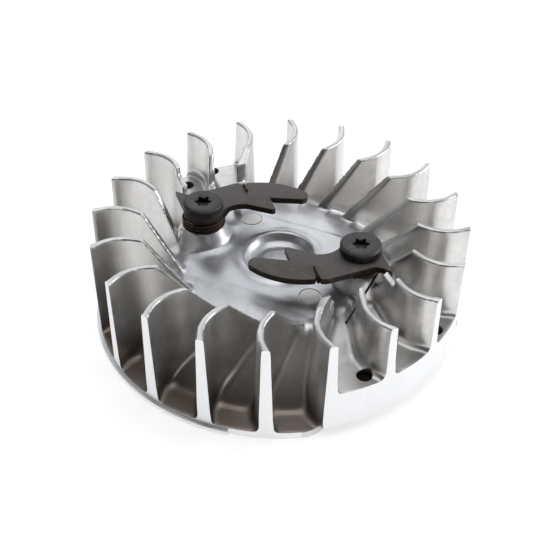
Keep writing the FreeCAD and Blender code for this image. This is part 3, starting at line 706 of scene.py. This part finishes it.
@dataclass
class WheelCasting:
    """The die-cast wheel: a cast skin with soft fillets, then its machined faces."""

    node: str = "flywheel_casting"
    skin: float = 0.42 * MM            # cell size of the cast skin
    stock: float = 1.6 * MM            # left on the turned faces until they are cut
    on_rim: float = 0.02 * MM          # how near the rim's radius a turned vertex lies
    lip_height: float = 1.7 * MM
    lip: float = 0.95 * MM             # how far the lip stands proud
    no_lip: tuple[int, int] = (256, 370)
    band: tuple[int, int] = (287, 339)
    relief_lead: int = 11              # degrees over which the flange curves in to the band
    relief_curve: float = 0.039 * MM
    relief_depth: float = 5.6 * MM
    relief_height: float = 2.98 * MM
    fan_height: float = 33.15 * MM
    settle_rounds: int = 3
    fillet_passes: tuple[tuple[float, int, int], ...] = (
        (0.03, 6, 30), (0.02, 12, 40), (0.015, 18, 50))     # least bend, spread, rounds
    weight_levels: int = 10
    most_faces: int = 186_000
    hole_radius: float = 2.2 * MM
    hole_depth: float = 7.0 * MM
    pin_top: float = 15.4 * MM
    weight_top: float = 18.0 * MM
    pin_holes: tuple[Span, ...] = ((3.8, 296.8), (10.3, 313.9), (3.2, 328.2))
    balance_holes: tuple[Span, ...] = ((3.5, 116.5), (6.4, 129.2))
    mark_radius: float = 3.0 * MM      # ejector marks
    mark_groove: float = 0.32 * MM
    boss_rounds: int = 150
    boss_foot: Span = (6.3 * MM, 7.2 * MM)      # from a pivot
    boss_end: Span = (14 * MM, 18 * MM)
    ring_rounds: int = 30
    ring_end: Span = (15 * MM, 18 * MM)         # from the axis
    plateau_end: Span = (28 * MM, 30 * MM)
    bar_rise: float = 0.3 * MM         # raised bar from one pawl pivot to the other
    bar_side: Span = (15.6, 17.4)      # mm from the line of the pivots
    bar_far_side: Span = (17.2, 20.6)
    bar_end: Span = (27 * MM, 31 * MM)
    hollow_bend: Span = (0.01, 0.08)   # radians
    crest_bend: Span = (0.10, 0.30)
    crease: float = 38.0
    seat_height: float = 17.0 * MM
    bore_radius: float = 5.4 * MM
    bore_length: float = 3.0 * MM
    taper_mouth: float = 7.4 * MM
    keyway_width: float = 3.0 * MM
    keyway_depth: float = 1.5 * MM
    cast_in: tuple[str, ...] = ("pole_shoe_leading", "pole_shoe_trailing", "ignition_magnet")
    cast_in_gap: float = 0.03 * MM

    def build(self) -> Object:
        """Model the casting and return it."""
        piece = copy_node(self.node, "wheel_casting")
        merge(piece, *self.hole_plugs(), self.bore_plug(), *self.inserts(0.0))
        self.leave_stock(piece)
        self.cast_skin(piece)
        for threshold, spread, rounds in self.fillet_passes:
            self.fill_hollows(piece, threshold, spread, rounds)
        self.soften(piece)
        self.raise_bar(piece)
        dense = piece.data.copy()
        bend = hollowness(dense, 3)
        self.turn_rim(piece)
        self.machine(piece)
        self.thin_out(piece)
        smooth_shading(piece, self.crease)
        carried = carry_attribute(dense, bend, piece.data)
        # The hollow attribute drives painted shade with some grime in the cast finish
        set_attribute(piece.data, "hollow", smoothstep(*self.hollow_bend, carried))
        # The crest attribute drives a painted highlight in the cast finish
        set_attribute(piece.data, "crest", smoothstep(*self.crest_bend, -carried))
        # The drilled attribute drives the painted shade in the holes
        set_attribute(piece.data, "drilled", self.in_holes(piece.data))
        bpy.data.meshes.remove(dense)
        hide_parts(self.node)
        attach(piece, "wheel")
        return piece

    def leave_stock(self, piece: Object) -> None:
        """Push the turned faces out, so that the lathe has metal to cut."""
        places = vertex_places(piece.data)
        radius = np.hypot(places[:, 0], places[:, 1])
        rim = (radius > RIM_RADIUS - self.on_rim) & (radius < RIM_RADIUS + self.on_rim)
        rim &= places[:, 2] > self.lip_height - 0.01 * MM
        places[rim, :2] *= ((RIM_RADIUS + self.stock) / radius[rim])[:, None]
        place_vertices(piece.data, places)

    def holes(self) -> list[tuple[Vector, float]]:
        """Centre and upper end of each pin hole and balance hole."""
        places = [(inset, azimuth, self.pin_top) for inset, azimuth in self.pin_holes]
        places += [(inset, azimuth, self.weight_top) for inset, azimuth in self.balance_holes]
        return [(polar(RIM_RADIUS - inset * MM, azimuth), top)
                for inset, azimuth, top in places]

    def hole_plugs(self) -> list[Object]:
        """Metal in the drilled holes, as the casting has before it is drilled."""
        radius = self.hole_radius + 0.1 * MM
        return [drum("plug", radius, top - self.hole_depth - MM, top, centre)
                for centre, top in self.holes()]

    def bore_plug(self) -> Object:
        """Metal in the crankshaft's bore up to the nut seat."""
        radius = self.taper_mouth + self.keyway_depth + 0.5 * MM
        return drum("bore_plug", radius, MM, self.seat_height, ON_AXIS)

    def inserts(self, grown: float) -> list[Object]:
        """Copies of the pole shoes and the magnet, each a little larger all round."""
        copies = []
        for node in self.cast_in:
            copy = copy_node(node, node + "_room")
            if grown:
                apply_modifier(copy, "DISPLACE", strength=grown, mid_level=0.0, direction="NORMAL")
            copies.append(copy)
        return copies

    def cast_skin(self, piece: Object) -> None:
        """One even skin over everything, with the small edge rounding of a casting."""
        apply_modifier(piece, "REMESH", mode="VOXEL", voxel_size=self.skin, adaptivity=0.0)
        apply_modifier(piece, "SMOOTH", factor=0.5, iterations=self.settle_rounds)

    def fill_hollows(self, piece: Object, threshold: float, spread: int, rounds: int) -> None:
        """Round every inner corner into a wider fillet and leave the crests alone.

        Args:
            piece: the casting.
            threshold: least bend of what counts as hollow.
            spread: how many cells wide the fillet reaches.
            rounds: rounds of smoothing.
        """
        hollow = smoothstep(threshold, threshold * 4, hollowness(piece.data, 2))
        weights = np.clip(Neighbours(piece.data).blur(hollow, spread) * 2.0, 0.0, 1.0)
        self.smooth_where(piece, weights, rounds)

    def smooth_where(self, piece: Object, weights: np.ndarray, rounds: int) -> None:
        """Smooth the skin by a different share at each vertex."""
        group = piece.vertex_groups.new(name="worked")
        levels = np.round(weights * self.weight_levels).astype(int)
        for level in range(1, self.weight_levels + 1):
            members = np.flatnonzero(levels == level)
            if len(members):
                group.add(members.tolist(), level / self.weight_levels, "REPLACE")
        apply_modifier(piece, "SMOOTH", factor=0.5, iterations=rounds, vertex_group="worked")
        piece.vertex_groups.clear()

    def soften(self, piece: Object) -> None:
        """Run the pivots' bosses and the ring round the nut seat softly into the plateau."""
        places = vertex_places(piece.data)
        radius = np.hypot(places[:, 0], places[:, 1])
        above = smoothstep(PLATEAU - 3 * MM, PLATEAU - 2 * MM, places[:, 2])
        inside = fall(*self.plateau_end, radius)
        ring = smoothstep(self.bore_radius + MM, 8 * MM, radius) * fall(*self.ring_end, radius)
        bosses = np.zeros(len(places))
        for centre in both(PIVOT_RADIUS, PIVOT_AZIMUTH):
            apart = np.hypot(places[:, 0] - centre.x, places[:, 1] - centre.y)
            flank = smoothstep(*self.boss_foot, apart) * fall(*self.boss_end, apart)
            bosses = np.maximum(bosses, flank)
        self.smooth_where(piece, above * inside * bosses, self.boss_rounds)
        self.smooth_where(piece, above * inside * ring, self.ring_rounds)

    def raise_bar(self, piece: Object) -> None:
        """Lift the plateau a little along the line of the two pivots."""
        places = vertex_places(piece.data)
        radius = np.hypot(places[:, 0], places[:, 1])
        angle = math.radians(PIVOT_AZIMUTH)
        aside = (places[:, 1] * math.cos(angle) - places[:, 0] * math.sin(angle)) / MM
        level = smoothstep(0.75, 0.97, vertex_normals(piece.data)[:, 2])
        level *= smoothstep(self.seat_height, PLATEAU - MM, places[:, 2])
        level *= fall(*self.bar_end, radius)
        across = fall(*self.bar_side, aside) * fall(*self.bar_far_side, -aside)
        places[:, 2] += self.bar_rise * level * across
        place_vertices(piece.data, places)

    def thin_out(self, piece: Object) -> None:
        """Take out faces where the surface is nearly flat."""
        piece.data.calc_loop_triangles()
        count = len(piece.data.loop_triangles)
        log.info("casting has %d triangles before thinning", count)
        if count > self.most_faces:
            apply_modifier(piece, "DECIMATE", decimate_type="COLLAPSE",
                           ratio=self.most_faces / count, use_collapse_triangulate=True)

    def turn_rim(self, piece: Object) -> None:
        """Cut the fins, the band and the flange lip to their turned sizes."""
        low, top, lip, axis = -PAST, self.fan_height + PAST, RIM_RADIUS + self.lip, MM
        outline = [(axis, low), (lip, low), (lip, self.lip_height),
                   (RIM_RADIUS, self.lip_height), (RIM_RADIUS, top), (axis, top)]
        boolean(piece, revolve("lathe", outline, 360), "INTERSECT")
        first, last = self.no_lip
        straight = [(azimuth, RIM_RADIUS) for azimuth in range(first, last + 1)]
        boolean(piece, self.side_cutter(straight, self.lip_height + 0.05 * MM), "DIFFERENCE")
        boolean(piece, self.side_cutter(self.relief(), self.relief_height), "DIFFERENCE")

    def relief(self) -> list[Span]:
        """Azimuths and radii of the flange's edge where it curves in under the magnet band."""
        first, last = self.band
        edge = []
        for azimuth in range(first - self.relief_lead, last + self.relief_lead + 1):
            near = min(azimuth - (first - self.relief_lead), last + self.relief_lead - azimuth)
            depth = min(self.relief_curve * near * near, self.relief_depth)
            edge.append((azimuth, RIM_RADIUS - depth))
        return edge

    def side_cutter(self, edge: list[Span], high: float) -> Object:
        """What cuts the flange back to an edge.

        Args:
            edge: azimuths and radii that stay.
            high: how high the cut reaches.

        Returns:
            The cutter, which reaches past the flange outside and below.
        """
        inside = [polar(radius, azimuth) for azimuth, radius in edge]
        outside = [polar(RIM_RADIUS + 3 * self.lip, azimuth) for azimuth, _ in reversed(edge)]
        tool = primitive(bpy.ops.mesh.primitive_circle_add, "side_cutter", vertices=2 * len(edge),
                         radius=MM, fill_type="NGON")
        for vertex, place in zip(tool.data.vertices, inside + outside):
            vertex.co = (place.x, place.y, -PAST)
        with editing(tool):
            bpy.ops.mesh.extrude_region_move(
                TRANSFORM_OT_translate={"value": (0, 0, high + PAST)})
            bpy.ops.mesh.select_all(action="SELECT")
            bpy.ops.mesh.normals_make_consistent(inside=False)
        return tool

    def machine(self, piece: Object) -> None:
        """Drill the holes, ream the bore, cut the keyway, the marks' grooves and the pockets."""
        for centre, top in self.holes():
            boolean(piece, self.drill(centre, top), "DIFFERENCE")
        boolean(piece, self.reamer(), "DIFFERENCE")
        boolean(piece, self.broach(), "DIFFERENCE")
        for centre in both(MARK_DISTANCE, MARK_AZIMUTH):
            boolean(piece, self.groove(centre), "DIFFERENCE")
        for tool in self.inserts(self.cast_in_gap):
            boolean(piece, tool, "DIFFERENCE")

    def in_holes(self, mesh: Mesh) -> np.ndarray:
        """1 at the vertices on the walls and the bottoms of the drilled holes, 0 elsewhere; it places painted shade."""
        places = vertex_places(mesh)
        inside = np.zeros(len(places))
        for centre, top in self.holes():
            apart = np.hypot(places[:, 0] - centre.x, places[:, 1] - centre.y)
            deep = (places[:, 2] < top - 0.35 * MM) & (places[:, 2] > top - self.hole_depth - MM)
            inside[(apart < self.hole_radius + 0.08 * MM) & deep] = 1.0
        return inside

    def drill(self, centre: Vector, top: float) -> Object:
        """A drill with a blunt point."""
        low, point = top - self.hole_depth, 0.8 * MM
        outline = [(0.0, low), (self.hole_radius, low + point),
                   (self.hole_radius, top + 2 * PAST), (0.0, top + 2 * PAST)]
        return move(revolve("drill", outline, 48), centre)

    def reamer(self) -> Object:
        """The crankshaft's taper with the straight bore above it."""
        taper_top = self.seat_height - self.bore_length
        outline = [(0.0, -MM), (self.taper_mouth, -MM), (self.taper_mouth, MM),
                   (self.bore_radius, taper_top), (self.bore_radius, self.seat_height + PAST),
                   (0.0, self.seat_height + PAST)]
        return revolve("reamer", outline, 96)

    def broach(self) -> Object:
        """The keyway's cutter, which follows the taper."""
        tool = primitive(bpy.ops.mesh.primitive_cube_add, "broach", size=1.0)
        taper_top = self.seat_height - self.bore_length
        for vertex in tool.data.vertices:
            upper = vertex.co.z > 0
            reach = (self.bore_radius if upper else self.taper_mouth) + self.keyway_depth
            vertex.co = (reach if vertex.co.x > 0 else 0.0,
                         math.copysign(self.keyway_width / 2, vertex.co.y),
                         taper_top if upper else -MM)
        return tool

    def groove(self, centre: Vector) -> Object:
        """The fine groove round an ejector mark."""
        inner, outer = self.mark_radius, self.mark_radius + self.mark_groove
        low, high = PLATEAU - 0.1 * MM, PLATEAU + PAST
        outline = [(inner, low), (outer, low), (outer, high), (inner, high)]
        return move(revolve("groove", outline, 64), centre)


@dataclass
class PoleShoe:
    """A laminated pole shoe: turned with the band outside, rusty where the pin hole shows it."""

    node: str

    def build(self) -> Object:
        """Model the shoe and return it."""
        piece = copy_node(self.node, self.node + "_laminated")
        smooth_shading(piece, 30.0)
        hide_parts(self.node)
        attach(piece, "wheel")
        return piece


def mark_faces(piece: Object) -> None:
    """Store where a flat steel piece has upright sides, which get painted shade, and where its edges are rubbed."""
    mesh = piece.data
    upright = 1 - smoothstep(0.25, 0.75, np.abs(vertex_normals(mesh)[:, 2]))
    set_attribute(mesh, "side", upright)
    set_attribute(mesh, "crest", smoothstep(0.08, 0.30, -hollowness(mesh, 0)))


@dataclass
class PressedPiece:
    """A steel piece that keeps its CAD shape, with its edges broken."""

    node: str
    body: str
    slot: Slot
    edge: float = 0.16 * MM
    segments: int = 2

    def build(self) -> Object:
        """Model the piece and return it."""
        piece = copy_node(self.node, self.node + "_finished")
        with editing(piece):
            bpy.ops.mesh.dissolve_limited(angle_limit=math.radians(0.5))
        apply_modifier(piece, "BEVEL", width=self.edge, segments=self.segments,
                       limit_method="ANGLE", angle_limit=math.radians(35), harden_normals=False, use_clamp_overlap=True)
        smooth_shading(piece, 30.0)
        mark_faces(piece)
        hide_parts(self.node)
        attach(piece, self.body)
        return piece


@dataclass
class ShoulderScrew:
    """A shoulder screw, its round head with a broad chamfer and a six-lobed recess."""

    side: Side
    thread_radius: float = 2.5 * MM
    thread_length: float = 11.0 * MM
    thread_chamfer: float = 0.6 * MM
    edge: float = 0.14 * MM
    shoulder_radius: float = 3.5 * MM
    head_radius: float = 6.0 * MM
    head_height: float = 2.5 * MM
    chamfer: float = 0.75 * MM
    chamfer_drop: float = 0.55 * MM
    recess_radius: float = 2.55 * MM
    recess_hollow: float = 1.78 * MM
    recess_depth: float = 2.0 * MM
    countersink: float = 0.30 * MM

    def build(self) -> Object:
        """Model the screw and return it."""
        node = "pivot_screw_" + self.side.value
        low, high = (corner[2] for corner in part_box(node))
        seat, under_head = low + self.thread_length, high - self.head_height
        outline = [(0.0, low), (self.thread_radius - self.thread_chamfer, low),
                   (self.thread_radius, low + self.thread_chamfer), (self.thread_radius, seat),
                   (self.shoulder_radius, seat), (self.shoulder_radius, under_head),
                   (self.head_radius, under_head), (self.head_radius, high - self.chamfer_drop),
                   (self.head_radius - self.chamfer, high), (0.0, high)]
        piece = revolve(node + "_finished", outline, 72)
        boolean(piece, self.driver(high), "DIFFERENCE")
        boolean(piece, self.cone(high), "DIFFERENCE")
        apply_modifier(piece, "BEVEL", width=self.edge, segments=2, limit_method="ANGLE",
                       angle_limit=math.radians(25), harden_normals=False, use_clamp_overlap=True)
        place = Matrix.Rotation(self.side.turn, 4, "Z") @ polar(PIVOT_RADIUS, PIVOT_AZIMUTH)
        move(piece, place)
        smooth_shading(piece, 28.0)
        mark_faces(piece)
        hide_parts(node)
        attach(piece, "wheel")
        return piece

    def driver(self, top: float) -> Object:
        """The six-lobed punch that forms the recess."""
        low, high = top - self.recess_depth, top + MM
        tool = drum("driver", MM, low, high, ON_AXIS, sides=96)
        middle = (self.recess_radius + self.recess_hollow) / 2
        swell = (self.recess_radius - self.recess_hollow) / 2
        for vertex in tool.data.vertices:
            angle = math.atan2(vertex.co.y, vertex.co.x)
            reach = (middle + swell * math.cos(6 * angle)) / MM
            vertex.co.x *= reach
            vertex.co.y *= reach
        return tool

    def cone(self, top: float) -> Object:
        """The shallow countersink round the recess."""
        low, high = top - self.countersink, top + 0.05 * MM
        outline = [(0.0, low), (self.recess_hollow + 0.3 * MM, low),
                   (self.recess_radius + 0.45 * MM, high), (0.0, high)]
        return revolve("countersink", outline, 72)


@dataclass
class Spring:
    """A torsion spring with a hooked leg."""

    side: Side
    blend_start: float = 6.6 * MM      # from the pivot, towards the hook
    blend_end: float = 11.8 * MM

    def build(self) -> Object:
        """Model the spring and return it."""
        node = "pawl_spring_" + self.side.value
        piece = copy_node(node, node + "_wire")
        smooth_shading(piece, 50.0)
        for name in ("crest", "side"):
            set_attribute(piece.data, name, np.zeros(len(piece.data.vertices)))
        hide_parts(node)
        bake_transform(piece)
        return piece


# ---- studio ----


@dataclass
class Studio:
    """Pale floor, soft lights and the camera."""

    lens: float = 64.21
    sensor: float = 36.0
    target: tuple[float, float, float] = (0.000229, 0.011347, 0.0)
    distance: float = 0.32019
    pitch: float = 40.386
    roll: float = 0.778
    floor_size: float = 6.0
    floor_tone: float = 0.86
    floor_glow: float = 0.62
    bright_side: Colour = (0.92, 0.95, 1.0)
    dim_side: Colour = (0.10, 0.09, 0.08)
    world_strength: float = 0.55
    world_turn: float = 0.55           # how far the bright side lies round towards +X

    def build(self) -> None:
        """Add everything round the object."""
        self.camera()
        self.floor()
        self.world()
        self.lights()

    def camera(self) -> None:
        """The camera, looking down at the wheel."""
        data = bpy.data.cameras.new("camera")
        data.lens = self.lens
        data.sensor_width = self.sensor
        data.clip_start = 0.01
        data.clip_end = 20.0
        camera = bpy.data.objects.new("camera", data)
        pitch = math.radians(self.pitch)
        back = Vector((0, -math.cos(pitch), math.sin(pitch)))
        camera.location = Vector(self.target) + back * self.distance
        look = (-back).to_track_quat("-Z", "Y").to_matrix().to_4x4()
        turned = look @ Matrix.Rotation(math.radians(self.roll), 4, "Z")
        camera.rotation_euler = turned.to_euler()
        bpy.context.scene.collection.objects.link(camera)
        bpy.context.scene.camera = camera

    def floor(self) -> None:
        """A wide pale floor just under the flange."""
        floor = primitive(bpy.ops.mesh.primitive_plane_add, "floor", size=self.floor_size,
                          location=(0, 0, -0.02 * MM))
        material = bpy.data.materials.new("Floor")
        material.use_nodes = True
        shader = material.node_tree.nodes["Principled BSDF"]
        Graph(material.node_tree).fill(shader, {
            "Base Color": (self.floor_tone,) * 3, "Roughness": 0.9, "Specular IOR Level": 0.0,
            "Emission Color": (1.0,) * 3, "Emission Strength": self.floor_glow})
        floor.data.materials.append(material)

    def world(self) -> None:
        """Light from all round, brightest above and behind and dim on the camera's side."""
        world = bpy.data.worlds.new("world")
        world.use_nodes = True
        graph = Graph(world.node_tree)
        shade = world.node_tree.nodes["Background"]
        parts = graph.add("ShaderNodeSeparateXYZ",
                          {0: graph.add("ShaderNodeTexCoord").outputs["Generated"]})
        way = graph.math("MULTIPLY_ADD", parts.outputs["X"], self.world_turn, parts.outputs["Y"])
        sky = graph.mix(graph.ramp(way, -0.85, 0.95), self.dim_side, self.bright_side)
        graph.fill(shade, {"Color": sky, "Strength": self.world_strength})
        bpy.context.scene.world = world
        bpy.context.scene.view_settings.view_transform = "Standard"

    def lights(self) -> None:
        """Soft boxes above, behind and to the sides."""
        boxes = (       # name, place, width, depth, watts
            ("top_box", (0.0, 0.10, 0.75), 0.6, 0.5, 1.2),
            ("back_box", (-0.15, 0.75, 0.45), 0.9, 0.5, 1.1),
            ("left_box", (-0.75, -0.15, 0.35), 0.4, 0.5, 0.2),
            ("right_box", (0.75, 0.12, 0.35), 0.5, 0.5, 2.4),
            ("front_box", (0.30, -0.80, 0.14), 0.35, 0.22, 0.5),
        )
        for name, place, width, depth, watts in boxes:
            light = bpy.data.lights.new(name, "AREA")
            light.shape = "RECTANGLE"
            light.size, light.size_y = width, depth
            light.energy = watts
            lamp = bpy.data.objects.new(name, light)
            lamp.location = place
            way = Vector((0, 0, 0.01)) - Vector(place)
            lamp.rotation_euler = way.to_track_quat("-Z", "Y").to_euler()
            bpy.context.scene.collection.objects.link(lamp)


def dress(piece: Object, material: Material) -> None:
    """Give a piece one material."""
    piece.data.materials.clear()
    piece.data.materials.append(material)


def main() -> None:
    """Build the wheel, its pawls and the studio."""
    logging.basicConfig(level=logging.INFO, format="%(name)s %(message)s")
    effects = Effects()
    casting = WheelCasting().build()
    dress(casting, CastFinish().build(effects))
    log.info("wheel casting built")
    pawl_steel = PAWL_FINISH.build(effects)
    screw_steel = SCREW_FINISH.build(effects)
    wire = SPRING_FINISH.build(effects)
    for side in Side:
        pawl = "pawl_" + side.value
        dress(PressedPiece(pawl, pawl, Slot.PAWL).build(), pawl_steel)
        dress(ShoulderScrew(side).build(), screw_steel)
        dress(Spring(side).build(), wire)
        log.info("%s pawl, screw and spring built", side.value)
    lamination = LaminationFinish().build(effects)
    for node in ("pole_shoe_leading", "pole_shoe_trailing"):
        dress(PoleShoe(node).build(), lamination)
    dress(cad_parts["ignition_magnet"], MAGNET_FINISH.build(effects))
    Studio().build()


if __name__ == "__main__":
    main()
